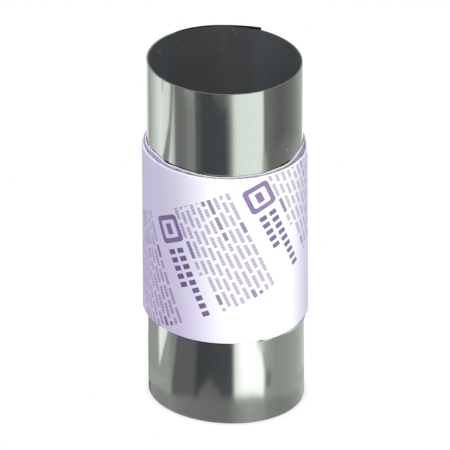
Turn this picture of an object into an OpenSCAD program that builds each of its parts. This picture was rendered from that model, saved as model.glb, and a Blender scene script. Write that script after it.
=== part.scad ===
// Roll of shim stock, standing on its end.
// One long strip of thin steel is wound into an open, springy coil.
// A printed wrap band of several layers goes round the middle and holds the coil shut.
// Millimetres, +Z up along the roll's axis, origin at the centre of the bottom end.

/* [Steel strip] */
// Width of the strip, which is the height of the roll as it stands
strip_w = 152.4; // [110:0.1:200]
// Thickness of the strip
strip_t = 0.0762; // [0.06:0.0001:0.16]
// Length of the strip, unrolled
strip_l = 1270; // [800:10:2540]

/* [Roll] */
// Outer diameter of the roll
roll_d = 63.5; // [50:0.1:90]
// Air between one turn and the next
turn_gap = 0.02; // [0.01:0.005:0.05]
// Rounding that the slitting leaves on each long edge of the strip
slit_round = 0.008; // [0.004:0.001:0.015]
// Depth to which the space between two turns is open at the roll's ends
turn_groove_h = 0.1; // [0.05:0.01:0.4]

/* [Free end of the strip] */
// Direction in which the strip's outer end lies, from +X towards +Y
free_end_angle = 62; // [0:1:359]
// How far its two corners spring out from the roll
free_end_lift = 1.6; // [0.8:0.1:1.8]
// Depth to which the root of a sprung corner is let into the outer turn
free_end_root = 0.02; // [0.01:0.005:0.03]

/* [Wrap band] */
// Width of the band, along the roll
band_w = 76.2; // [40:0.1:100]
// How far the band's middle lies above the roll's middle
band_shift = 0.7; // [0:0.1:3]
// Thickness of one layer of the band
band_ply = 0.47; // [0.35:0.01:0.6]
// Number of layers
band_plies = 5; // [4:1:7]
// Clearance between the roll and the innermost layer
band_clearance = 0.15; // [0.05:0.05:0.3]
// Radius of the band's two outer edges
band_edge_r = 0.8; // [0.4:0.1:1]
// Width of the groove between two layers on the band's edges
ply_groove_w = 0.12; // [0.08:0.01:0.16]
// Depth of that groove
ply_groove_h = 0.25; // [0.1:0.05:0.5]

/* [Hidden] */
$fn = 96;

steel_colour = [0.62, 0.64, 0.62];
band_colour = [0.84, 0.80, 0.93];

// The roll: so many whole turns of this pitch use up the strip
roll_r = roll_d / 2;
turn_pitch = strip_t + turn_gap;
turns = round((roll_r - sqrt(roll_r * roll_r - turn_pitch * strip_l / PI)) / turn_pitch);
bore_r = roll_r - turns * turn_pitch + turn_gap;
turn_groove_w = turn_gap + 2 * slit_round;

// The free end: it leaves the roll along a tangent, so the lift sets the angle that it spans
free_end_span = acos(roll_r / (roll_r + free_end_lift));
corner_steps = 8;
corner_rows = 6;

// The band: near the middle of the roll's height
band_z = (strip_w - band_w) / 2 + band_shift;
band_bore_r = roll_r + band_clearance;
band_t = band_plies * band_ply;
band_r = band_bore_r + band_t;

// Grooves cut into both ends of a wound sleeve's half section, one at each radius given:
// so wide at the end's face, and so deep
module groove_cuts(starts, w, h, height) {
    for (r = starts) {
        polygon([[r - w / 2, 0], [r, h], [r + w / 2, 0]]);
        polygon([[r - w / 2, height], [r, height - h], [r + w / 2, height]]);
    }
}

// Surface of a sprung corner: a share u of the way along to the strip's end and a share v of the way
// up from the band's edge to the roll's end, as a point at the depth given below the outer face
function corner_lift(u, v) = free_end_lift * u * u * v * v;
function corner_depth(u) = free_end_root + (strip_t - 2 * free_end_root) * u;
function corner_point(u, v, depth) =
    let (
        a = free_end_angle + free_end_span * (1 - u),
        r = roll_r - free_end_root * (1 - u * v) + corner_lift(u, v) - depth,
        z = band_z + band_w + v * (strip_w - band_z - band_w)
    )
    [r * cos(a), r * sin(a), z];

// One sprung corner of the strip's outer end, at the roll's upper end
module sprung_corner() {
    across = corner_steps + 1;
    layer = across * (corner_rows + 1);
    outer = [for (j = [0:corner_rows]) for (i = [0:corner_steps])
        corner_point(i / corner_steps, j / corner_rows, 0)];
    inner = [for (j = [0:corner_rows]) for (i = [0:corner_steps])
        corner_point(i / corner_steps, j / corner_rows, corner_depth(i / corner_steps))];
    outer_faces = [for (j = [0:corner_rows - 1]) for (i = [0:corner_steps - 1])
        let (a = j * across + i)
        each [[a, a + 1, a + across], [a + 1, a + across + 1, a + across]]];
    inner_faces = [for (f = outer_faces) [f[2] + layer, f[1] + layer, f[0] + layer]];
    rim = concat(
        [for (i = [0:corner_steps]) i],
        [for (j = [1:corner_rows]) j * across + corner_steps],
        [for (i = [corner_steps - 1:-1:0]) corner_rows * across + i],
        [for (j = [corner_rows - 1:-1:1]) j * across]
    );
    rim_faces = [for (k = [0:len(rim) - 1])
        let (a = rim[k], b = rim[(k + 1) % len(rim)])
        each [[a, a + layer, b], [b, a + layer, b + layer]]];
    polyhedron(concat(outer, inner), concat(outer_faces, inner_faces, rim_faces));
}

// The wound strip: one turned solid with its bore, its turns on both ends, and its free outer end
module shim_roll() {
    color(steel_colour) {
        rotate_extrude() difference() {
            translate([bore_r, 0]) square([roll_r - bore_r, strip_w]);
            groove_cuts(
                [for (i = [1:turns - 1]) roll_r - i * turn_pitch + turn_gap / 2],
                turn_groove_w, turn_groove_h, strip_w
            );
        }
        sprung_corner();
        translate([0, 0, strip_w]) mirror([0, 0, 1]) sprung_corner();
    }
}

// The wrap band: its layers on both edges, and rounded where the outer layer turns in
module wrap_band() {
    color(band_colour) translate([0, 0, band_z]) rotate_extrude() difference() {
        union() {
            translate([band_bore_r, 0]) square([band_t - band_edge_r, band_w]);
            translate([band_bore_r, band_edge_r]) square([band_t, band_w - 2 * band_edge_r]);
            translate([band_r - band_edge_r, band_edge_r]) circle(band_edge_r);
            translate([band_r - band_edge_r, band_w - band_edge_r]) circle(band_edge_r);
        }
        groove_cuts(
            [for (i = [1:band_plies - 1]) band_bore_r + i * band_ply],
            ply_groove_w, ply_groove_h, band_w
        );
    }
}

shim_roll();
wrap_band();
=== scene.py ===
"""Roll of shim stock in its wrap band, dressed and lit for the photograph's view. Metres, row frame."""
import math

import bpy
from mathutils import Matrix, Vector, noise


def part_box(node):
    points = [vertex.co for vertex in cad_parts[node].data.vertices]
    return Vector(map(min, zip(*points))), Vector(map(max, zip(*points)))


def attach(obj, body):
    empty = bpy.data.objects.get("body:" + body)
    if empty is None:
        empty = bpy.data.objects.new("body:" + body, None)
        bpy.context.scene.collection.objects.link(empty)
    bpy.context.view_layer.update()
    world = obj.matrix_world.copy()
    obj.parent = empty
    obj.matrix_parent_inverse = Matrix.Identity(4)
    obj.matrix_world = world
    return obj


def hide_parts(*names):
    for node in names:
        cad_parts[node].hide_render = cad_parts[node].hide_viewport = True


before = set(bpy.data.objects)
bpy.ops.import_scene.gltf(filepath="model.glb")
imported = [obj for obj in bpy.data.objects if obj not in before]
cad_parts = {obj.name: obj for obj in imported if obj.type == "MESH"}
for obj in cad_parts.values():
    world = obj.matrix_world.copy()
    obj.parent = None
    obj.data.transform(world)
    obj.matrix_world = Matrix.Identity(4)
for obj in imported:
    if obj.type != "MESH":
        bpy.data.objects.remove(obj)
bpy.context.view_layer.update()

MM = 0.001

# The frame: the roll and the band stand on the same axis
roll_low, roll_high = (Vector(corner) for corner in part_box("shim_roll"))
band_low, band_high = (Vector(corner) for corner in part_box("wrap_band"))
ROLL_R = -roll_low.x
ROLL_H = roll_high.z
BAND_R = band_high.x
BAND_BOTTOM = band_low.z
BAND_TOP = band_high.z

# The strip, wound from its inner end outwards
STRIP_T = 0.0762 * MM
STRIP_L = 1270 * MM
TURN_PITCH = STRIP_T + 0.02 * MM
FREE_END = 152.4  # where the outer end lies, in degrees from the front to the right
TURNS = (ROLL_R - math.sqrt(ROLL_R ** 2 - TURN_PITCH * STRIP_L / math.pi)) / TURN_PITCH

# The coil is a little out of round: so much along the two diagonals and so much along front and side
OVAL_FOOT = (1.36 * MM, -0.44 * MM)
OVAL_TOP = (0.94 * MM, -0.17 * MM)

# The wall's slight wander: how far, over what height, and how finely round the roll
WAVE = 0.03 * MM
WAVE_HEIGHT = 42 * MM
WAVE_ROUND = 1.6

# How far the turns' edges wander in from the roll's two ends together: half of the most, the share of it at
# the foot, and how fast it changes
TURN_SLIP = 0.05 * MM
TURN_SLIP_FOOT = 0.4
TURN_SLIP_RATE = 0.83

# The loose outer turn near its end, in degrees of winding: how far it springs out and how steeply that grows,
# and the dent in the coil beneath it, in degrees from the front and in millimetres, with where it starts
SPRING_SPAN = 28
SPRING_LIFT = 1.9 * MM
LOOSE_POWER = 1.6
COIL_DENT = (
    (150, 0.0), (160, 0.45), (168, 0.8), (173, 0.75), (178, 0.2), (185, 0.2), (189, 1.2), (206, 1.3),
    (216, 0.7), (228, 0.0),
)
DENT_START = 60
DENT_BLUR = 14

# The band's layers, from the roll outwards
BAND_CLEARANCE = 0.15 * MM
BAND_EDGE_R = 0.5 * MM
BAND_INSET = 0.56 * MM  # how far in from the solid's face the round of the outer face lies
BAND_PUSH = 0.12 * MM  # how far the band sits to the left on the coil
SEAM = 203  # where the outer layer ends, in degrees from the front
SEAM_STEP = 0.16 * MM

BLACK = (0.0, 0.0, 0.0, 1.0)
WHITE = (1.0, 1.0, 1.0, 1.0)
SHARP_ANGLE = math.radians(40)
WAY_ROUND = 2 * math.pi * ROLL_R / MM  # all the way round the roll, in millimetres

# The camera
CAMERA_DISTANCE = 5.0
CAMERA_ELEVATION = math.radians(27.753)
CAMERA_ROLL = math.radians(0.338)
VIEW_WIDTH = 185.19 * MM  # what the picture spans at the roll's middle
VIEW_AIM = (-0.17 * MM, -0.126 * MM)  # the picture's centre, to the right of the roll's middle and above it


def clamp(value, low=0.0, high=1.0):
    return max(low, min(high, value))


def smooth(value):
    """Smooth step from 0 to 1."""
    value = clamp(value)
    return value * value * (3 - 2 * value)


def along(stops, at):
    """The value at a place, from (place, value) stops joined by straight lines."""
    if at <= stops[0][0]:
        return stops[0][1]
    for (a, low), (b, high) in zip(stops, stops[1:]):
        if at <= b:
            return low + (high - low) * (at - a) / (b - a)
    return stops[-1][1]


def place_round(radius, degrees, height):
    """The point at that radius and height, so many degrees from the front to the right."""
    angle = math.radians(degrees)
    return (radius * math.sin(angle), -radius * math.cos(angle), height)


def oval(degrees, height):
    """How far the coil is out of round there, and how many degrees that turns its surface."""
    share = clamp(height / ROLL_H)
    diagonal = OVAL_FOOT[0] + (OVAL_TOP[0] - OVAL_FOOT[0]) * share
    straight = OVAL_FOOT[1] + (OVAL_TOP[1] - OVAL_FOOT[1]) * share
    twice = 2 * math.radians(degrees)
    offset = diagonal * math.sin(twice) + straight * math.cos(twice)
    slope = 2 * (diagonal * math.cos(twice) - straight * math.sin(twice)) / (ROLL_R + offset)
    return offset, -math.degrees(math.atan(slope))


def add_object(name, data):
    """An object of its own in the scene."""
    obj = bpy.data.objects.new(name, data)
    bpy.context.scene.collection.objects.link(obj)
    return obj


def new_mesh_object(name, points, faces):
    """An object made of these points and faces, shaded smooth except at its sharp edges."""
    mesh = bpy.data.meshes.new(name)
    mesh.from_pydata(points, [], faces)
    mesh.update()
    mesh.shade_smooth()
    mesh.set_sharp_from_angle(angle=SHARP_ANGLE)
    return add_object(name, mesh)


def dress(obj, materials, kinds, places):
    """The piece's materials, which of them each face has, and the map that the look is baked to, as one place
    for each corner of each face."""
    for material in materials:
        obj.data.materials.append(material)
    for polygon, kind in zip(obj.data.polygons, kinds):
        polygon.material_index = kind
    layer = obj.data.uv_layers.new(name="OFBake")
    for loop, place in zip(layer.data, places):
        loop.uv = place


# Node helpers


class Nodes:
    """A material's or the world's node tree, with short ways to add to it."""

    def __init__(self, owner):
        owner.use_nodes = True
        self.tree = owner.node_tree
        self.tree.nodes.clear()

    def add(self, kind, inputs=None, **settings):
        node = self.tree.nodes.new(kind)
        for name, value in settings.items():
            setattr(node, name, value)
        for name, value in (inputs or {}).items():
            self.put(node.inputs[name], value)
        return node

    def put(self, socket, value):
        if isinstance(value, bpy.types.Node):
            value = value.outputs[0]
        if isinstance(value, bpy.types.NodeSocket):
            self.tree.links.new(value, socket)
        else:
            socket.default_value = value

    def math(self, operation, a, b=0.0, c=0.0):
        node = self.add("ShaderNodeMath", operation=operation)
        for socket, value in zip(node.inputs, (a, b, c)):
            self.put(socket, value)
        return node.outputs[0]

    def ramp(self, value, low, high, to_low=0.0, to_high=1.0):
        """value from low..high mapped smoothly to to_low..to_high."""
        return self.add("ShaderNodeMapRange", {
            "Value": value,
            "From Min": low,
            "From Max": high,
            "To Min": to_low,
            "To Max": to_high,
        }, interpolation_type="SMOOTHSTEP").outputs[0]

    def mix(self, factor, a, b):
        node = self.add("ShaderNodeMix", data_type="RGBA")
        self.put(node.inputs[0], factor)
        self.put(node.inputs[6], a)
        self.put(node.inputs[7], b)
        return node.outputs[2]

    def vector(self, x, y, z):
        return self.add("ShaderNodeCombineXYZ", {"X": x, "Y": y, "Z": z}).outputs[0]

    def noise(self, vector, scale, detail=2.0, roughness=0.5):
        return self.add("ShaderNodeTexNoise", {
            "Vector": vector,
            "Scale": scale,
            "Detail": detail,
            "Roughness": roughness,
        }).outputs["Fac"]

    def unrolled(self, radius):
        """The surface unrolled, in millimetres: the way round from the front to the right, and the height."""
        place = self.add("ShaderNodeTexCoord").outputs["Object"]
        parts = self.add("ShaderNodeSeparateXYZ", {"Vector": place})
        back = self.math("MULTIPLY", parts.outputs["Y"], -1.0)
        angle = self.math("ARCTAN2", parts.outputs["X"], back)
        return self.math("MULTIPLY", angle, radius / MM), self.math("DIVIDE", parts.outputs["Z"], MM)

    def finish(self, shader, output="ShaderNodeOutputMaterial"):
        self.put(self.add(output).inputs["Surface"], shader)


# The strip


def strip_wave(degrees, height):
    """How far the coil's wall wanders from an even surface."""
    return WAVE * noise.noise(Vector(place_round(WAVE_ROUND, degrees, height / WAVE_HEIGHT)))


def strip_radius(wound, height):
    """The strip's outer face, so many degrees in from its outer end and at that height."""
    degrees = FREE_END + wound
    offset, _ = oval(degrees, height)
    reach = ROLL_H - BAND_TOP
    loose = clamp(max(height - BAND_TOP, BAND_BOTTOM - height) / reach) ** LOOSE_POWER
    spring = SPRING_LIFT * clamp(1 - wound / SPRING_SPAN) ** LOOSE_POWER
    dent = along(COIL_DENT, degrees % 360) * MM * smooth((wound - DENT_START) / DENT_BLUR)
    wall = ROLL_R - TURN_PITCH * wound / 360 + offset + strip_wave(degrees, height)
    return wall + (spring - dent) * loose


def build_roll():
    """The strip as the spiral that it is, with every turn at its real thickness and its outer end loose."""
    steps_a_turn = 180
    rows = 30
    columns = round(TURNS * steps_a_turn)
    points = []
    for column in range(columns + 1):
        wound = 360 * column / steps_a_turn
        slip = TURN_SLIP * (1 - math.cos(math.radians(wound) * TURN_SLIP_RATE))
        for inwards in (0, STRIP_T):
            for row in range(rows + 1):
                height = TURN_SLIP_FOOT * slip + (ROLL_H - slip) * row / rows
                radius = strip_radius(wound, height) - inwards
                points.append(place_round(radius, FREE_END + wound, height))
    faces = []
    kinds = []
    places = []

    def add_face(corners, kind, corner_places=((0.0, 0.0), (0.0, 0.01), (0.01, 0.01), (0.01, 0.0))):
        """A face of this kind. What never shows shares one small place in the bake map."""
        faces.append(corners)
        kinds.append(kind)
        places.extend(corner_places)

    # The bake map has the turns' outsides in its upper half, the bore's wall in its lower half, and the slit
    # edges in between. The look goes by the way round and the height alone, so the turns share their places.
    upper, lower, half = 0.52, 0.03, 0.47
    edge_low, edge_high = 0.505, 0.515
    per_side = rows + 1
    per_column = 2 * per_side
    last_turn = columns - steps_a_turn
    for column in range(columns):
        a = column * per_column
        b = a + per_column
        left = (column % steps_a_turn) / steps_a_turn
        right = left + 1 / steps_a_turn
        for row in range(rows):
            low = half * row / rows
            high = half * (row + 1) / rows
            outer = (a + row, b + row, b + row + 1, a + row + 1)
            add_face(outer, 0, (
                (left, upper + low), (right, upper + low), (right, upper + high), (left, upper + high),
            ))
            inner = tuple(per_side + corner for corner in (a + row, a + row + 1, b + row + 1, b + row))
            if column >= last_turn:
                add_face(inner, 1, (
                    (left, lower + low), (left, lower + high), (right, lower + high), (right, lower + low),
                ))
            else:
                add_face(inner, 3)
        add_face((a, a + per_side, b + per_side, b), 2, (
            (left, edge_low), (left, edge_high), (right, edge_high), (right, edge_low),
        ))
        add_face((a + rows, b + rows, b + per_side + rows, a + per_side + rows), 2, (
            (left, edge_low), (right, edge_low), (right, edge_high), (left, edge_high),
        ))
    last = columns * per_column
    end_places = ((0.0, edge_low), (0.01, edge_low), (0.01, edge_high), (0.0, edge_high))
    for row in range(rows):
        at = last + row
        add_face((row, row + 1, per_side + row + 1, per_side + row), 2, end_places)
        add_face((at, at + per_side, at + per_side + 1, at + 1), 2, end_places)
    roll = new_mesh_object("coiled_strip", points, faces)
    dress(roll, (
        steel_material("steel_outside", 0.15, 0.65),
        steel_material("steel_bore", 0.22, 0.60, in_bore=True),
        slit_edge_material(),
        # The darker steel between the turns is painted shade.
        steel_material("steel_between_turns_painted_shade", 0.3, 0.15),
    ), kinds, places)
    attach(roll, "root")
    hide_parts("shim_roll")


# Painted light in the bore: a dull film that lightens the wall, by the way round and the height in
# millimetres: how strong it is at the back and at the sides, where its sides begin, how much is added at the
# far left, and its share low down and high up
BORE_FILM_PAINTED_LIGHT = (0.056, 0.100)
PAINTED_FILM_RIGHT = (85.8, 87.4)
PAINTED_FILM_LEFT = (116, 134)
PAINTED_FILM_FAR_LEFT = (130, 152)
FAR_LEFT_PAINTED_LIGHT = 0.07
PAINTED_LIGHT_HEIGHTS = (118, 150)
PAINTED_LIGHT_BY_HEIGHT = (1.25, 0.82)

# The few light specks in it: the way round, the height and how strong
SPECKS = (
    (130.6, 147.3, 0.85), (117.6, 144.7, 0.38), (100.1, 141.8, 0.34),
    (95.8, 151.0, 0.45), (94.0, 149.4, 0.42),
)

# The scratch above the band, at the right: its bright foot and the middle of its faint tail
SCRATCH_FOOT = (28.2, 121.6, 0.5)
SCRATCH_TAIL = (29.7, 122.3, 0.22)
SCRATCH_SLOPE = math.radians(22)


def bore_film_painted_light(nodes, around, height):
    """How strong the dull film of painted light in the bore is, and 1 at its sides and 0 at its back."""
    way = nodes.math("FLOORED_MODULO", around, WAY_ROUND)
    side = nodes.math("MAXIMUM", nodes.ramp(way, *PAINTED_FILM_RIGHT, 1.0, 0.0), nodes.ramp(way, *PAINTED_FILM_LEFT))
    far_left = nodes.ramp(way, *PAINTED_FILM_FAR_LEFT, 0.0, FAR_LEFT_PAINTED_LIGHT)
    strength = nodes.math("ADD", nodes.ramp(side, 0.0, 1.0, *BORE_FILM_PAINTED_LIGHT), far_left)
    strength = nodes.math("MULTIPLY", strength, nodes.ramp(height, *PAINTED_LIGHT_HEIGHTS, *PAINTED_LIGHT_BY_HEIGHT))
    for speck in SPECKS:
        strength = nodes.math("ADD", strength, speck_mask(nodes, way, height, speck))
    return strength, side


def steel_material(name, roughness, lightness, in_bore=False):
    """Bright cold-rolled steel: fine marks along the strip, so that its reflections spread up and down, and
    darker along its foot as painted shade. In the bore a dull film lies on it, warm at the back and cool at
    the sides, whose strength and tint are painted light."""
    material = bpy.data.materials.new(name)
    nodes = Nodes(material)
    around, height = nodes.unrolled(ROLL_R)
    surface = nodes.vector(around, 0.0, height)
    stretched = nodes.vector(nodes.math("MULTIPLY", around, 0.02), 0.0, height)
    marks = nodes.noise(stretched, 3.2, 4.0, 0.7)
    streaks = nodes.noise(stretched, 0.6, 2.0)
    cloud = nodes.noise(surface, 0.05, 3.0)
    mottle = nodes.noise(surface, 0.55, 3.0, 0.6)
    shade = 0.875
    for pattern, depth in ((marks, 0.07), (streaks, 0.05), (mottle, 0.07)):
        shade = nodes.math("MULTIPLY_ADD", pattern, depth, shade)
    # Painted shade: the steel is darker along the strip's foot, where it meets the floor.
    painted_foot_shade = nodes.ramp(height, 0.15, 0.45, 0.45, 1.0)
    shade = nodes.math("MULTIPLY", shade, painted_foot_shade)
    base = (lightness * 0.985, lightness * 1.015, lightness * 0.985, 1.0)
    colour = nodes.mix(shade, BLACK, base)
    if in_bore:
        dulled, side = bore_film_painted_light(nodes, around, height)
        # Painted light colour: the bore is tinted warm at the back and cool at the sides.
        warm = (lightness * 1.02, lightness * 0.985, lightness * 0.985, 1.0)
        cool = (lightness * 0.94, lightness * 1.02, lightness * 1.03, 1.0)
        colour = nodes.mix(0.6, colour, nodes.mix(side, warm, cool))
    else:
        dulled = scratch_mask(nodes, around, height)
    nodes.finish(nodes.add("ShaderNodeBsdfPrincipled", {
        "Base Color": colour,
        "Metallic": nodes.math("SUBTRACT", 1.0, dulled),
        "Roughness": nodes.ramp(cloud, 0.3, 0.7, roughness - 0.015, roughness + 0.02),
        "Anisotropic": 0.6,
        "Anisotropic Rotation": 0.25,
        "Normal": nodes.add("ShaderNodeBump", {"Height": marks, "Strength": 0.12, "Distance": 0.01 * MM}),
        "Tangent": nodes.add("ShaderNodeTangent", direction_type="RADIAL", axis="Z"),
    }))
    return material


def speck_mask(nodes, way, height, speck):
    """A light speck: the way round, the height and how strong it is."""
    off = nodes.vector(nodes.math("SUBTRACT", way, speck[0]), nodes.math("SUBTRACT", height, speck[1]), 0.0)
    away = nodes.add("ShaderNodeVectorMath", {0: off}, operation="LENGTH").outputs["Value"]
    return nodes.ramp(away, 0.15, 0.5, speck[2], 0.0)


def scratch_mask(nodes, around, height):
    """How dull the scratch leaves the metal: a faint slanted tail and a foot like a speck."""
    at_way, at_height, strength = SCRATCH_TAIL
    way = nodes.math("SUBTRACT", around, at_way)
    up = nodes.math("SUBTRACT", height, at_height)
    cos = math.cos(SCRATCH_SLOPE)
    sin = math.sin(SCRATCH_SLOPE)
    along_it = nodes.math("ADD", nodes.math("MULTIPLY", way, cos), nodes.math("MULTIPLY", up, sin))
    across_it = nodes.math("SUBTRACT", nodes.math("MULTIPLY", up, cos), nodes.math("MULTIPLY", way, sin))
    length = nodes.ramp(nodes.math("ABSOLUTE", along_it), 1.1, 1.7, 1.0, 0.0)
    width = nodes.ramp(nodes.math("ABSOLUTE", across_it), 0.1, 0.3, strength, 0.0)
    foot = speck_mask(nodes, around, height, SCRATCH_FOOT)
    return nodes.math("MAXIMUM", nodes.math("MULTIPLY", length, width), foot)


# Behind, the slit edges are dark with painted shade: the middle of that by the way round, and how far from it
# they turn bright
EDGE_SHADE_MIDDLE = 101.5
EDGE_SHADE_REACH = (18, 26)


def slit_edge_material():
    """The strip's long edges, dull from the slitting and darkened further by painted shade between the turns,
    most of all behind.
    """
    material = bpy.data.materials.new("slit_edge")
    nodes = Nodes(material)
    grain = nodes.noise(nodes.add("ShaderNodeTexCoord").outputs["Object"], 400.0, 3.0, 0.6)
    around, _ = nodes.unrolled(ROLL_R)
    way = nodes.math("FLOORED_MODULO", around, WAY_ROUND)
    from_back = nodes.math("ABSOLUTE", nodes.math("SUBTRACT", way, EDGE_SHADE_MIDDLE))
    out_of_shade = nodes.ramp(from_back, *EDGE_SHADE_REACH, 0.2, 1.0)
    edge = nodes.mix(grain, (0.20, 0.205, 0.20, 1.0), (0.42, 0.43, 0.42, 1.0))
    nodes.finish(nodes.add("ShaderNodeBsdfPrincipled", {
        "Base Color": nodes.mix(out_of_shade, BLACK, edge),
        "Metallic": 1.0,
        "Roughness": 0.45,
    }))
    return material


# The wrap band

# All in millimetres, by degrees from the front to the right.
# How far the band's top edge strays from a level cut
TOP_STRAY = (
    (-180, 0.0), (-120, 0.3), (-84, 0.5), (-77, 1.0), (-65, 1.6), (-58, 1.0), (-53, 0.6), (-47, 0.35),
    (-39, 0.6), (-33, 0.42), (-28, 0.4), (-20, 0.05), (-12, -0.2), (-4, -0.3), (8, -0.25), (20, 0.0),
    (26, -0.2), (36, 0.3), (46, 0.5), (55, 0.7), (62, 1.5), (70, 2.2), (78, 1.7), (90, 1.2), (100, 1.8),
    (112, 1.8), (130, 0.5), (180, 0.0),
)
# How thick the innermost layer is, and how far it stands up over the cut layers
LINER_T = (
    (-180, 0.36), (-90, 0.5), (-56, 0.5), (-46, 0.36), (66, 0.36), (80, 0.2), (120, 0.2), (150, 0.36),
    (180, 0.36),
)
LINER_WALL = (
    (-180, 0.4), (-60, 0.35), (-48, 0.25), (-36, 0.25), (-30, 0.35), (-24, 0.35), (-8, 0.28), (22, 0.28),
    (40, 0.35), (60, 0.45), (180, 0.4),
)
# Where the outer layer ends, from a level cut
OUTER_TOP = (
    (-180, -0.6), (60, -0.6), (72, -1.2), (86, -1.3), (95, -0.6), (103, 0.4), (114, 0.4), (130, -0.6),
    (180, -0.6),
)
# How far the bottom edge strays
BOTTOM_STRAY = (
    (-180, 0.0), (-60, -0.1), (-42, -0.45), (-30, -0.65), (5, -0.5), (12, 0.0), (26, -0.1), (29, -0.3),
    (36, -0.2), (42, 0.0), (48, 0.0), (57, 0.35), (63, 0.9), (69, 1.0), (75, 0.4), (80, 0.0), (180, 0.0),
)
# How far an inner layer shows below the bottom edge, and from where on it is a pale one; before that it is
# near black, as painted shade
TONGUE = (
    (-46, 0.0), (-41, 0.5), (-20, 0.6), (3, 0.55), (6, 0.0), (23, 0.0), (24, 0.8), (25.5, 0.8), (26.5, 0.0),
    (28, 1.0), (31, 1.0), (35, 0.5), (42, 0.7), (50, 1.4), (57, 1.9), (63, 2.3), (69, 2.2), (75, 1.0),
    (80, 0.3), (84, 0.0),
)
PALE_TONGUE = 27
# How much wider or narrower than BAND_CLEARANCE the gap between the roll and the band is along its top edge
TOP_GAP = (
    (-180, 0.08), (-84, 0.0), (-77, -0.1), (-70, 0.06), (-62, -0.1), (-55, -0.1), (-51, 0.4), (-43, 0.2),
    (-37, 0.25), (-22, 0.25), (-15, 0.2), (0, 0.12), (7, -0.08), (24, -0.1), (32, 0.06), (41, 0.15),
    (44, 0.34), (51, 0.25), (55, -0.06), (62, -0.12), (80, -0.12), (84, 0.0), (180, 0.08),
)


def band_rings(degrees):
    """The band's outline at that angle, from its bore over the top edge, down the outside and back along the
    bottom edge: radius, height, and what lies between this place and the next: 0 paper, 1 cut layers, 2 the
    dark inner layer, near black as painted shade, which also darkens the top of the band's bore, 3 the liner,
    4 the pale layer that shows below the outer one at the right."""
    thin = SEAM_STEP * ((degrees - SEAM) % 360) / 360
    top = BAND_TOP + along(TOP_STRAY, degrees) * MM
    ragged = 0.1 * noise.noise(Vector(place_round(2.5, degrees, 0.0)))
    outer_top = BAND_TOP + (along(OUTER_TOP, degrees) + ragged) * MM
    bottom = BAND_BOTTOM + along(BOTTOM_STRAY, degrees) * MM
    gap = along(TOP_GAP, degrees) * MM
    spread = BAND_R - BAND_INSET - thin - BAND_PUSH * math.sin(math.radians(degrees))
    bore = ROLL_R + BAND_CLEARANCE
    thick = along(LINER_T, degrees) * MM
    liner = bore + thick
    plies = spread - BAND_EDGE_R
    groove = 0.05 * MM
    rings = [
        # The top 3 mm of the band's bore take the near-black inner layer, as painted shade.
        (bore, top - 3 * MM, 2),
        (bore + gap, top + 0.04 * MM, 3),
        (bore + gap + 0.05 * MM, top + 0.1 * MM, 3),
        (liner + gap, top + 0.1 * MM - 0.6 * thick, 3),
    ]
    start = max(top - along(LINER_WALL, degrees) * MM, outer_top)
    for ply in range(3):
        inner = liner + gap + ply * (plies - liner - gap) / 3
        outer = liner + gap + (ply + 1) * (plies - liner - gap) / 3
        level = start + (outer_top - start) * (ply + 0.5) / 3
        rings += [(inner, level - 0.1 * MM, 1), (inner + groove, level, 1), (outer - groove, level, 1)]
    rings.append((plies, outer_top - 0.04 * MM, 0))
    steps = 6
    turns = [math.pi / 2 * step / steps for step in range(steps + 1)]
    for turn in turns[1:]:
        out = BAND_EDGE_R * math.sin(turn)
        rings.append((plies + out, outer_top + BAND_EDGE_R * (math.cos(turn) - 1), 0))
    rows = 16
    high = outer_top - BAND_EDGE_R
    low = bottom + BAND_EDGE_R
    for row in range(1, rows):
        rings.append((spread, high + (low - high) * row / rows, 0))
    for turn in reversed(turns[1:]):
        out = BAND_EDGE_R * math.sin(turn)
        rings.append((plies + out, bottom - BAND_EDGE_R * (math.cos(turn) - 1), 0))
    tongue = along(TONGUE, degrees) * MM
    shown = 1
    inner_foot = liner + 2 * groove
    if tongue:
        shown = 2 if degrees < PALE_TONGUE else 4
        inner_foot = liner + groove
    rings += [
        (plies, bottom + 0.08 * MM, shown),
        (plies - groove, bottom + 0.14 * MM - tongue, shown),
        (inner_foot, bottom + 0.14 * MM - tongue, shown),
        (liner, bottom + 0.3 * MM, 0),
        (liner - 0.05 * MM, bottom - 0.05 * MM, 0),
        (bore, bottom - 0.05 * MM, 0),
    ]
    return [(radius + oval(degrees, height)[0], height, kind) for radius, height, kind in rings]


def band_map_rows(rings):
    """The rows of the bake map that the strip from each ring to the next takes. They go by the strip's width,
    and only the one along the bore, which never shows, is narrower."""
    widths = [math.dist(ring[:2], following[:2]) for ring, following in zip(rings, rings[1:])]
    widths.append(0.5 * MM)
    share = 0.98 / sum(widths)
    rows = []
    start = 0.99
    for width in widths:
        rows.append((start, start - share * width))
        start = rows[-1][1]
    return rows


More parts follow.
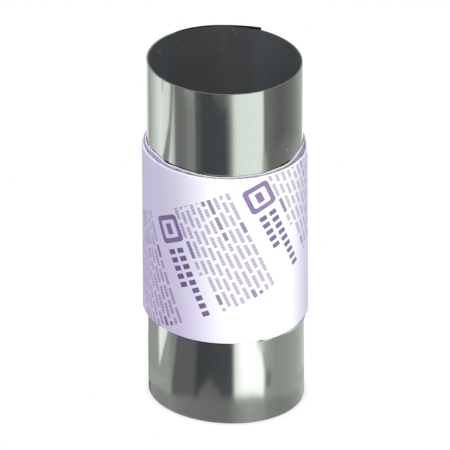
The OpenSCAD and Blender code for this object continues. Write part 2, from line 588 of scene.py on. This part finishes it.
def build_band():
    """The wound band: its outline carried round the roll, with its edges cut a little unevenly."""
    steps = 360
    columns = []
    points = []
    for step in range(steps + 1):
        degrees = SEAM + 360 * step / steps
        about = (degrees + 180) % 360 - 180
        rings = band_rings(about if step < steps else about - 1e-6)
        columns.append(rings)
        points += [place_round(radius, degrees, height) for radius, height, _ in rings]
    per_column = len(rings)
    map_rows = band_map_rows(rings)
    faces = []
    kinds = []
    places = []
    for step in range(steps):
        a = step * per_column
        b = a + per_column
        left = step / steps
        right = (step + 1) / steps
        for k, (low, high) in enumerate(map_rows):
            following = (k + 1) % per_column
            faces.append((a + k, a + following, b + following, b + k))
            kinds.append(columns[step][k][2])
            places += [(left, low), (left, high), (right, high), (right, low)]
    for a in (0, steps * per_column):
        corners = tuple(range(a, a + per_column))
        faces.append(corners if a else tuple(reversed(corners)))
        kinds.append(1)
        places += [(0.0, 0.0)] * per_column
    band = new_mesh_object("printed_wrap_band", points, faces)
    dress(band, (
        paper_material(),
        # The cut layers, the inner layer and the liner are darkened in front and at the right as painted
        # shade.
        ply_material("cut_plies", (0.40, 0.355, 0.45, 1.0), (0.70, 0.66, 0.76, 1.0), 0.62, 0.45),
        ply_material("inner_ply_painted_shade", (0.008, 0.007, 0.01, 1.0), (0.02, 0.018, 0.023, 1.0), 0.7, 0.7),
        ply_material("liner", (0.92, 0.91, 0.93, 1.0), (0.97, 0.97, 0.98, 1.0), 0.74, 0.66),
        ply_material("under_ply", (0.40, 0.40, 0.43, 1.0), (0.50, 0.50, 0.53, 1.0), 1.0, 1.0),
    ), kinds, places)
    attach(band, "root")
    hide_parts("wrap_band")


PAPER_COLOUR = (0.875, 0.885, 0.90, 1.0)
LOW_SHADE_TINT_COLOUR = (0.87, 0.84, 0.905, 1.0)
SHADED_PAPER_COLOUR = (0.5, 0.45, 0.6, 1.0)
INK_COLOUR = (0.26, 0.19, 0.36, 1.0)
HEAVY_INK_COLOUR = (0.185, 0.135, 0.27, 1.0)

# The print, in millimetres: rows run along u, down and to the right, and follow one another along v
PRINT_SLOPE = math.radians(66)
PRINT_REPEAT = (84.0, 45.1)
PRINT_START = (-98.5, 17.0)
ROW_PITCH = 2.89
ROW_COUNT = 10
ROW_LENGTH = 49.5
FIRST_ROW_LENGTH = 31.0
DASH_LENGTH = 7.6
DASH_GAP = 0.7
DASH_HALF_HEIGHT = 0.78
ROW_OFFSET = 31.7  # how far apart two rows start in the pattern of dashes, in dashes
NOTCHES = 5.2  # how closely the dashes' tone changes along them, in radians a millimetre
HEAVY_SHARE = 0.14  # how many of the dashes are heavy ones
TILE = (8.5, 39.0)
# The blocks: how far apart, how wide, and each row's start, length, middle and half height
BLOCK_PITCH = 3.67
BLOCK_HALF_WIDTH = 1.12
HEAVY_ROWS = ((16.5, 33.0, 41.1, 1.65), (16.5, 18.3, 36.3, 1.65))


def box_mask(nodes, across, up, rounding):
    """1 inside a rounded box and 0 outside. across and up: how far outside its straight sides a place is."""
    across = nodes.math("ADD", across, rounding)
    up = nodes.math("ADD", up, rounding)
    corner = nodes.vector(nodes.math("MAXIMUM", across, 0.0), nodes.math("MAXIMUM", up, 0.0), 0.0)
    away = nodes.add("ShaderNodeVectorMath", {0: corner}, operation="LENGTH").outputs["Value"]
    inside = nodes.math("MINIMUM", nodes.math("MAXIMUM", across, up), 0.0)
    return nodes.ramp(nodes.math("ADD", away, inside), rounding - 0.07, rounding + 0.07, 1.0, 0.0)


def outside_of(nodes, value, middle, half):
    """How far a value lies outside middle - half .. middle + half, below 0 inside."""
    return nodes.math("SUBTRACT", nodes.math("ABSOLUTE", nodes.math("SUBTRACT", value, middle)), half)


def dash_pattern(nodes, place, feature):
    """The pattern of dashes of uneven length, one unit of place for each."""
    return nodes.add("ShaderNodeTexVoronoi", {
        "W": place,
        "Scale": 1.0,
        "Randomness": 0.75,
    }, voronoi_dimensions="1D", feature=feature)


def small_rows(nodes, u, v):
    """Ten rows of plain dashes of uneven length, some of them heavier."""
    row = nodes.math("FLOOR", nodes.math("DIVIDE", v, ROW_PITCH))
    into_row = nodes.math("SUBTRACT", v, nodes.math("MULTIPLY", row, ROW_PITCH))
    place = nodes.math("MULTIPLY_ADD", row, ROW_OFFSET, nodes.math("DIVIDE", u, DASH_LENGTH))
    edges = dash_pattern(nodes, place, "DISTANCE_TO_EDGE").outputs["Distance"]
    which = dash_pattern(nodes, place, "F1").outputs["Color"]
    chance = nodes.add("ShaderNodeSeparateXYZ", {"Vector": which}).outputs["X"]
    heavy = nodes.math("GREATER_THAN", chance, 1 - HEAVY_SHARE)
    half_height = nodes.math("MULTIPLY_ADD", heavy, 0.08, DASH_HALF_HEIGHT)
    gap = nodes.math("SUBTRACT", DASH_GAP, nodes.math("MULTIPLY", edges, DASH_LENGTH))
    is_first = nodes.math("LESS_THAN", row, 0.5)
    shorter = nodes.math("MULTIPLY", is_first, ROW_LENGTH - FIRST_ROW_LENGTH)
    past_end = nodes.math("SUBTRACT", u, nodes.math("SUBTRACT", ROW_LENGTH, shorter))
    ends = nodes.math("MAXIMUM", past_end, nodes.math("MULTIPLY", u, -1.0))
    off_middle = nodes.math("ABSOLUTE", nodes.math("SUBTRACT", into_row, ROW_PITCH / 2))
    up = nodes.math("SUBTRACT", off_middle, half_height)
    dashes = box_mask(nodes, nodes.math("MAXIMUM", gap, ends), up, 0.25)
    notches = nodes.math("SINE", nodes.math("MULTIPLY", u, NOTCHES))
    tone = nodes.ramp(notches, -0.9, 0.1, 0.36, 0.66)
    tone = nodes.math("MAXIMUM", tone, nodes.math("MULTIPLY", heavy, 0.85))
    is_row = nodes.math("LESS_THAN", row, ROW_COUNT - 0.5)
    return nodes.math("MULTIPLY", nodes.math("MULTIPLY", dashes, tone), is_row)


def heavy_rows(nodes, u, v):
    """Two rows of plain upright blocks."""
    rows = []
    for start, length, middle, half_height in HEAVY_ROWS:
        into = nodes.math("SUBTRACT", u, start)
        block = nodes.math("FLOORED_MODULO", into, BLOCK_PITCH)
        across = outside_of(nodes, block, BLOCK_PITCH / 2, BLOCK_HALF_WIDTH)
        across = nodes.math("MAXIMUM", across, outside_of(nodes, into, length / 2, length / 2))
        rows.append(box_mask(nodes, across, outside_of(nodes, v, middle, half_height), 0.3))
    return nodes.math("MAXIMUM", *rows)


def tile_mark(nodes, u, v):
    """A thick square frame with rounded corners and a plain bar in it."""
    def square(half_u, half_v, rounding):
        across = outside_of(nodes, u, TILE[0], half_u)
        return box_mask(nodes, across, outside_of(nodes, v, TILE[1], half_v), rounding)

    frame_mark = nodes.math("SUBTRACT", square(6.0, 6.0, 1.8), square(3.9, 3.9, 0.8))
    return nodes.math("MAXIMUM", frame_mark, square(2.4, 1.5, 0.3))


def print_masks(nodes, around, height):
    """The band's print: how much light ink and how much dark ink there is at each place."""
    cos = math.cos(PRINT_SLOPE)
    sin = math.sin(PRINT_SLOPE)
    u = nodes.math("SUBTRACT", nodes.math("MULTIPLY", around, cos), nodes.math("MULTIPLY", height, sin))
    v = nodes.math("ADD", nodes.math("MULTIPLY", around, sin), nodes.math("MULTIPLY", height, cos))
    u = nodes.math("FLOORED_MODULO", nodes.math("SUBTRACT", u, PRINT_START[0]), PRINT_REPEAT[0])
    v = nodes.math("FLOORED_MODULO", nodes.math("SUBTRACT", v, PRINT_START[1]), PRINT_REPEAT[1])
    return tile_mark(nodes, u, v), nodes.math("MAXIMUM", small_rows(nodes, u, v), heavy_rows(nodes, u, v))


def paper_material():
    """Smooth white paper with a lilac tint, pinker low down except at the right as a painted shade tint, and
    on its outer face slanted purple print, fainter sideways.
    """
    material = bpy.data.materials.new("printed_paper")
    nodes = Nodes(material)
    place = nodes.add("ShaderNodeTexCoord").outputs["Object"]
    fibre = nodes.noise(place, 900.0, 4.0, 0.6)
    cloud = nodes.noise(place, 30.0, 2.0)
    around, height = nodes.unrolled(BAND_R)
    normal = nodes.add("ShaderNodeNewGeometry").outputs["True Normal"]
    facing_up = nodes.math("ABSOLUTE", nodes.add("ShaderNodeSeparateXYZ", {"Vector": normal}).outputs["Z"])
    outside = nodes.ramp(facing_up, 0.05, 0.2, 1.0, 0.0)
    patchy = nodes.math("MULTIPLY", nodes.ramp(fibre, 0.2, 0.5, 0.88, 1.0), outside)
    for low, high, share_low, share_high in ((26, 46, 1.0, 0.6), (-46, -30, 0.55, 1.0)):
        patchy = nodes.math("MULTIPLY", patchy, nodes.ramp(around, low, high, share_low, share_high))
    # Painted shade tint: the paper is pinker low down, except towards the right.
    rise = nodes.ramp(height, BAND_BOTTOM / MM, BAND_TOP / MM)
    clear = nodes.math("MAXIMUM", rise, nodes.ramp(around, 5, 38))
    paper = nodes.mix(clear, LOW_SHADE_TINT_COLOUR, PAPER_COLOUR)
    paper = nodes.mix(nodes.math("MULTIPLY_ADD", cloud, 0.05, 0.965), SHADED_PAPER_COLOUR, paper)
    light_ink, dark_ink = print_masks(nodes, around, height)
    colour = nodes.mix(nodes.math("MULTIPLY", light_ink, patchy), paper, INK_COLOUR)
    colour = nodes.mix(nodes.math("MULTIPLY", dark_ink, patchy), colour, HEAVY_INK_COLOUR)
    nodes.finish(nodes.add("ShaderNodeBsdfPrincipled", {
        "Base Color": colour,
        "Roughness": nodes.ramp(cloud, 0.3, 0.7, 0.42, 0.52),
        "Specular IOR Level": 0.3,
        "Normal": nodes.add("ShaderNodeBump", {"Height": fibre, "Strength": 0.15, "Distance": 0.03 * MM}),
    }))
    return material


def ply_material(name, dark, light, front, right):
    """The cut edges of layers, streaked between two colours, and darkened to a share in front and at the
    right, less so again at the far right, as painted shade."""
    material = bpy.data.materials.new(name)
    nodes = Nodes(material)
    fibre = nodes.noise(nodes.add("ShaderNodeTexCoord").outputs["Object"], 700.0, 3.0, 0.6)
    around, _ = nodes.unrolled(BAND_R)
    # Painted shade: darker in front and at the right, and less so again at the far right.
    front_shade = nodes.ramp(around, -32, -10, 1.0, front)
    right_shade = nodes.ramp(around, 12, 28, 1.0, right)
    far_right = nodes.ramp(around, 31, 39, 0.0, 0.25)
    tone = nodes.math("ADD", nodes.math("MINIMUM", front_shade, right_shade), far_right)
    nodes.finish(nodes.add("ShaderNodeBsdfPrincipled", {
        "Base Color": nodes.mix(tone, BLACK, nodes.mix(nodes.ramp(fibre, 0.3, 0.7), dark, light)),
        "Roughness": 0.8,
        "Specular IOR Level": 0.15,
    }))
    return material


# The studio

FILL_COLOUR = (0.585, 0.532, 0.725, 1.0)
LAMP_COLOUR = (0.955, 1.07, 0.83)

# A card stands this far from the roll's wall, all along what the camera sees mirrored in it
CARD_WAY = 24.25 * MM
BACK_CARD_WAY = 34 * MM
SHEET_LIFT = 0.3 * MM  # how far the sheet at their foot lies above the floor
STEEL_REFLECTS = 0.62

# How light the walls behind the cards are, as display, by the angle on the roll where they are seen
UPPER_WALL = (
    (-90, 0.82), (-86, 0.76), (-83, 0.72), (-79, 0.55), (-76, 0.56), (-73, 0.63), (-66, 0.73), (-62, 0.81),
    (-58, 0.85), (-50, 0.80), (-46, 0.79), (-43, 0.67), (33, 0.405), (40, 0.35), (46, 0.34), (56, 0.40),
    (68, 0.54), (76, 0.62), (77.5, 0.625), (80, 0.71), (82.6, 0.77), (85, 1.0), (90, 1.0),
)
# Its right side leans: so many degrees a millimetre, from that height and between those two angles
UPPER_LEAN = 0.25
LEAN_HEIGHT = 135
LEAN_FROM, LEAN_TO = 72, 82
LOWER_WALL = (
    (-90, 0.42), (-84, 0.50), (-76, 0.53), (-66, 0.54), (-52, 0.555), (-46, 0.475), (-42, 0.45),
    (30, 0.60), (38, 0.525), (46, 0.53), (56, 0.57), (62, 0.59), (74, 0.67), (81, 0.67), (90, 0.62),
)
# Behind the band, the lower wall and its cards pass into the upper ones between these heights in millimetres
LOWER_END, UPPER_START = 50, 100
SHEET = (
    (-90, 0.33), (-84, 0.38), (-78, 0.51), (-70, 0.49), (-60, 0.475), (-50, 0.49), (-40, 0.44), (-18, 0.408),
    (-2, 0.402), (2, 0.42), (8, 0.49), (16, 0.55), (26, 0.53), (32, 0.475), (44, 0.455), (52, 0.475),
    (62, 0.54), (74, 0.63), (80, 0.59), (90, 0.62),
)
# How high up the roll the sheet is seen, in millimetres, where the cards begin, and how wide that blurs
SHEET_EDGE = (
    (-70, 6.0), (-45, 8.0), (-30, 9.8), (-12, 11.3), (0, 11.8), (20, 12.3), (34, 10.0), (50, 7.5), (90, 6.0),
)
SHEET_BLUR = 2.4


class Card:
    """A card that hides the wall behind it: its two sides in degrees by height in millimetres, how light it
    is at its left and right side, and how many degrees the blur of each side takes."""

    def __init__(self, left, right, light, blur):
        self.left = left
        self.right = right
        self.light = light
        self.blur = blur

    def over(self, behind, degrees, height):
        left = along(self.left, height)
        right = along(self.right, height)
        cover = smooth((degrees - left) / self.blur[0] + 0.5) * smooth((right - degrees) / self.blur[1] + 0.5)
        across = clamp((degrees - left) / max(right - left, 1e-6))
        light = self.light[0] + (self.light[1] - self.light[0]) * across
        return behind + (light - behind) * cover


def upright(degrees):
    """A side that stands upright."""
    return ((0, degrees),)


UPPER_CARDS = (
    # Dark slanted streak in the left light
    Card(
        ((116, -56.5), (122, -53.3), (135, -47.8), (150, -46.0)),
        ((116, -49.0), (122, -47.4), (135, -45.2), (150, -43.1)),
        (0.455, 0.49), (1.4, 1.4),
    ),
    # Thin line near the top
    Card(((141, -54.4), (152, -56.4)), ((141, -55.4), (152, -54.4)), (0.55, 0.55), (1.0, 1.0)),
    # Greys
    Card(upright(-41.9), upright(5), (0.395, 0.395), (1.8, 2)),
    Card(upright(-31), upright(-22.8), (0.455, 0.475), (6, 1.6)),
    Card(((140, -22), (152, -34)), ((140, -30), (152, -23)), (0.49, 0.53), (4, 1.6)),
    # Near black
    Card(upright(-23.0), upright(6), (0.315, 0.27), (1.2, 2)),
    Card(upright(-18.5), upright(6), (0.240, 0.262), (6, 2)),
    # A paler foot of the white near the top
    Card(((141, 5), (150, -9)), ((141, -5), (150, 2.6)), (0.315, 0.37), (3, 3)),
    # White, with a soft left side
    Card(((138, 4.8), (150, 3.8)), ((116, 28.6), (128, 29.3)), (0.83, 0.86), (11, 1.8)),
    # Paler towards the band at the right, and brightest beside the white
    Card(((116, 30), (122, 33), (134, 64)), ((122, 62), (130, 52)), (0.385, 0.42), (7, 8)),
    Card(((116, 50), (122, 53), (134, 74)), upright(70), (0.45, 0.57), (9, 8)),
    Card(
        ((116, 28.5), (122, 28), (130, 34)), ((116, 34), (122, 34), (130, 25)),
        (0.66, 0.42), (2.4, 2.4),
    ),
)
LOWER_CARDS = (
    # Bright wedge
    Card(upright(-63.6), ((15, -65.5), (18.5, -62.8), (36, -52.0)), (0.90, 0.85), (1.0, 1.6)),
    # Grey, near black, and the notch in its foot through which the sheet is seen
    Card(((13, -47.6), (20, -45.6), (36, -41.4)), upright(6), (0.34, 0.34), (1.6, 1.5)),
    Card(((16, -25), (30, -23.2)), upright(6), (0.222, 0.28), (7.0, 1.5)),
    Card(
        ((13, -22.5), (20.5, -11), (21.5, -8)), ((13, -3.6), (20.5, -12.8), (21.5, -14)),
        (0.385, 0.36), (3.5, 3.5),
    ),
    # White, whose right side curves in towards the top
    Card(upright(5.5), ((13, 27.9), (22, 28.6), (36, 25.8)), (0.87, 0.93), (5.0, 3.0)),
    Card(upright(10.0), ((13, 27.9), (22, 28.6), (36, 25.8)), (1.0, 0.99), (7.0, 3.4)),
    # A pale end of that towards the band, and a dark smudge beside its foot
    Card(((24, 36), (33, 24.6), (38, 22)), ((24, 20), (33, 30.5), (38, 31)), (0.85, 0.60), (2, 3)),
    Card(
        ((12, 36), (16, 30.2), (22, 30.8), (26, 36)), ((12, 30), (16, 34.5), (22, 34.5), (26, 30)),
        (0.385, 0.42), (2.6, 4.5),
    ),
)
# The tint that goes with each display value
TINTS = (
    (0.22, (0.95, 0.99, 1.03)), (0.30, (0.985, 1.0, 1.015)), (0.42, (1.0, 1.01, 0.985)),
    (0.58, (0.99, 1.02, 0.98)), (0.85, (0.985, 1.015, 0.985)), (1.0, (1.0, 1.0, 1.0)),
)


def linear(display):
    """Scene light for a display value."""
    return display / 12.92 if display <= 0.04045 else ((display + 0.055) / 1.055) ** 2.4


def mirrored_light(degrees, height):
    """How light the roll is to look there, as display."""
    high = height / MM
    lean = UPPER_LEAN * clamp((degrees - LEAN_FROM) / (LEAN_TO - LEAN_FROM)) * (high - LEAN_HEIGHT)
    upper = along(UPPER_WALL, degrees - lean)
    for card in UPPER_CARDS:
        upper = card.over(upper, degrees, high)
    lower = along(LOWER_WALL, degrees)
    for card in LOWER_CARDS:
        lower = card.over(lower, degrees, high)
    light = lower + (upper - lower) * smooth((high - LOWER_END) / (UPPER_START - LOWER_END))
    sheet = along(SHEET, degrees)
    return sheet + (light - sheet) * smooth((high - along(SHEET_EDGE, degrees)) / SHEET_BLUR + 0.5)


def light_colour(display):
    """The glow that the steel mirrors as that display value, with the tint that goes with it."""
    tint = [along([(level, tints[channel]) for level, tints in TINTS], display) for channel in range(3)]
    return [linear(clamp(display * share)) / STEEL_REFLECTS for share in tint] + [1.0]


def light_material(name):
    """A card that glows by its own points' light, for reflections alone."""
    material = bpy.data.materials.new(name)
    nodes = Nodes(material)
    light = nodes.add("ShaderNodeAttribute", attribute_name="light", attribute_type="GEOMETRY")
    nodes.finish(nodes.add("ShaderNodeEmission", {"Color": light.outputs["Color"], "Strength": 1.0}))
    return material


def for_reflections_only(obj):
    obj.visible_camera = False
    obj.visible_diffuse = False
    obj.visible_shadow = False
    obj.visible_transmission = False


def mirrored_place(degrees, height, way):
    """The point that the camera sees mirrored in the roll's wall there: on the sheet, or up on the cards."""
    offset, turned = oval(degrees, height)
    x, y, _ = place_round(ROLL_R + offset, degrees, height)
    drop = math.tan(CAMERA_ELEVATION)
    reach = min(way, (height - SHEET_LIFT) / drop)
    aside, back, _ = place_round(reach, 2 * (degrees + turned), 0.0)
    return (x + aside, y + back, height - reach * drop)


def build_reflector(name, way, spread, turned=False):
    """Cards round the roll, so many degrees to each side, and the sheet at their foot, as one surface that
    glows. It stands in front of the roll, or turned, behind it."""
    columns = 8 * spread
    fold = SHEET_LIFT + way * math.tan(CAMERA_ELEVATION)
    heights = [SHEET_LIFT + (fold - SHEET_LIFT) * row / 16 for row in range(16)]
    heights += [fold + 1 * MM * row for row in range(30)]
    heights += [fold + 30 * MM + 2.5 * MM * row for row in range(60)]
    points = []
    colours = []
    for column in range(columns + 1):
        degrees = (-1 + 2 * column / columns) * spread
        for height in heights:
            x, y, z = mirrored_place(degrees, height, way)
            points.append((-x, -y, z) if turned else (x, y, z))
            colours.append(light_colour(mirrored_light(degrees, height)))
    rows = len(heights)
    faces = []
    for column in range(columns):
        for row in range(rows - 1):
            a = column * rows + row
            faces.append((a, a + rows, a + rows + 1, a + 1))
    reflector = new_mesh_object(name, points, faces)
    layer = reflector.data.color_attributes.new("light", "FLOAT_COLOR", "POINT")
    for index, colour in enumerate(colours):
        layer.data[index].color = colour
    reflector.data.materials.append(light_material(name))
    for_reflections_only(reflector)


def build_bore_sheet():
    """A dim glowing sheet inside the bore, which its wall mirrors down to: painted shade in place of the
    shaded floor there, for reflections alone.
    """
    steps = 64
    radius = ROLL_R - 2 * MM
    points = [(0, 0, SHEET_LIFT)]
    points += [place_round(radius, 360 * step / steps, SHEET_LIFT) for step in range(steps)]
    faces = [(0, 1 + step, 1 + (step + 1) % steps) for step in range(steps)]
    sheet = new_mesh_object("bore_shade_sheet", points, faces)
    material = bpy.data.materials.new("bore_shade_sheet")
    nodes = Nodes(material)
    nodes.finish(nodes.add("ShaderNodeEmission", {"Color": (0.065, 0.062, 0.062, 1.0)}))
    sheet.data.materials.append(material)
    for_reflections_only(sheet)


def build_floor():
    """A pale floor that shows the soft shade round the roll's foot."""
    half = 3.0
    corners = [(-half, -half, 0), (half, -half, 0), (half, half, 0), (-half, half, 0)]
    floor = new_mesh_object("floor", corners, [(0, 1, 2, 3)])
    material = bpy.data.materials.new("floor")
    nodes = Nodes(material)
    shade = nodes.add("ShaderNodeAmbientOcclusion", {"Distance": 4 * MM}, samples=12)
    closeness = nodes.ramp(shade.outputs["AO"], 0.5, 0.85)
    shown = nodes.add("ShaderNodeEmission", {"Color": nodes.mix(closeness, (0.84, 0.84, 0.85, 1.0), WHITE)})
    bounce = nodes.add("ShaderNodeEmission", {"Color": FILL_COLOUR})
    nodes.finish(nodes.add("ShaderNodeMixShader", {0: sight_ray(nodes), 1: bounce, 2: shown}))
    floor.data.materials.append(material)


def sight_ray(nodes):
    """1 where a ray comes from the camera, a mirror or glass, and 0 where it gathers soft light."""
    path = nodes.add("ShaderNodeLightPath")
    seen = nodes.math("MAXIMUM", path.outputs["Is Camera Ray"], path.outputs["Is Glossy Ray"])
    return nodes.math("MAXIMUM", seen, path.outputs["Is Transmission Ray"])


def build_world():
    """White to the eye, and a lilac fill for what is lit by it."""
    world = bpy.data.worlds.new("studio")
    bpy.context.scene.world = world
    nodes = Nodes(world)
    white = nodes.add("ShaderNodeBackground", {"Color": WHITE, "Strength": 1.0})
    fill = nodes.add("ShaderNodeBackground", {"Color": FILL_COLOUR, "Strength": 1.0})
    mixed = nodes.add("ShaderNodeMixShader", {0: sight_ray(nodes), 1: fill, 2: white})
    nodes.finish(mixed, "ShaderNodeOutputWorld")


def add_lamp(name, data, place):
    """An area lamp that is neither seen nor mirrored."""
    lamp = add_object(name, data)
    lamp.location = place
    lamp.visible_glossy = False
    lamp.visible_camera = False
    return lamp


def strip_lamp(name, degrees, distance, power, lean=0.0):
    """A tall soft lamp beside the roll, so many degrees from the front to the right, its top leaning left."""
    data = bpy.data.lights.new(name, "AREA")
    data.shape = "RECTANGLE"
    data.size = 25 * MM
    data.size_y = 260 * MM
    data.energy = power
    data.color = LAMP_COLOUR
    lamp = add_lamp(name, data, place_round(distance, degrees, ROLL_H / 2))
    inwards = Vector(place_round(-1, degrees, 0.0))
    lamp.rotation_euler = inwards.to_track_quat("-Z", "Y").to_euler()
    lamp.rotation_euler.rotate_axis("Z", math.radians(lean))


def build_lamps():
    """Strip lamps in front and at the right, between which the band falls off, one behind, and one above."""
    strip_lamp("front_strip", -3, 50 * MM, 0.0208, lean=4.5)
    strip_lamp("right_front_strip", 40, 46 * MM, 0.0178)
    strip_lamp("right_strip", 82, 110 * MM, 0.0160)
    strip_lamp("back_strip", 185, 60 * MM, 0.02)
    above = bpy.data.lights.new("top_lamp", "AREA")
    above.size = 100 * MM
    above.energy = 3.0
    add_lamp("top_lamp", above, (0, 0, 600 * MM))


def build_camera():
    data = bpy.data.cameras.new("camera")
    data.angle = 2 * math.atan(VIEW_WIDTH / 2 / CAMERA_DISTANCE)
    data.clip_end = 20
    camera = add_object("camera", data)
    towards = Vector((0, -math.cos(CAMERA_ELEVATION), math.sin(CAMERA_ELEVATION)))
    up = Vector((0, math.sin(CAMERA_ELEVATION), math.cos(CAMERA_ELEVATION)))
    target = Vector((VIEW_AIM[0], 0, ROLL_H / 2)) + up * VIEW_AIM[1]
    camera.location = target + towards * CAMERA_DISTANCE
    camera.rotation_euler = (-towards).to_track_quat("-Z", "Y").to_euler()
    camera.rotation_euler.rotate_axis("Z", -CAMERA_ROLL)
    bpy.context.scene.camera = camera


build_camera()
build_world()
build_floor()
build_reflector("front_cards", CARD_WAY, 90)
build_reflector("back_cards", BACK_CARD_WAY, 70, turned=True)
build_bore_sheet()
build_lamps()
build_roll()
build_band()

bpy.context.scene.view_settings.view_transform = "Standard"
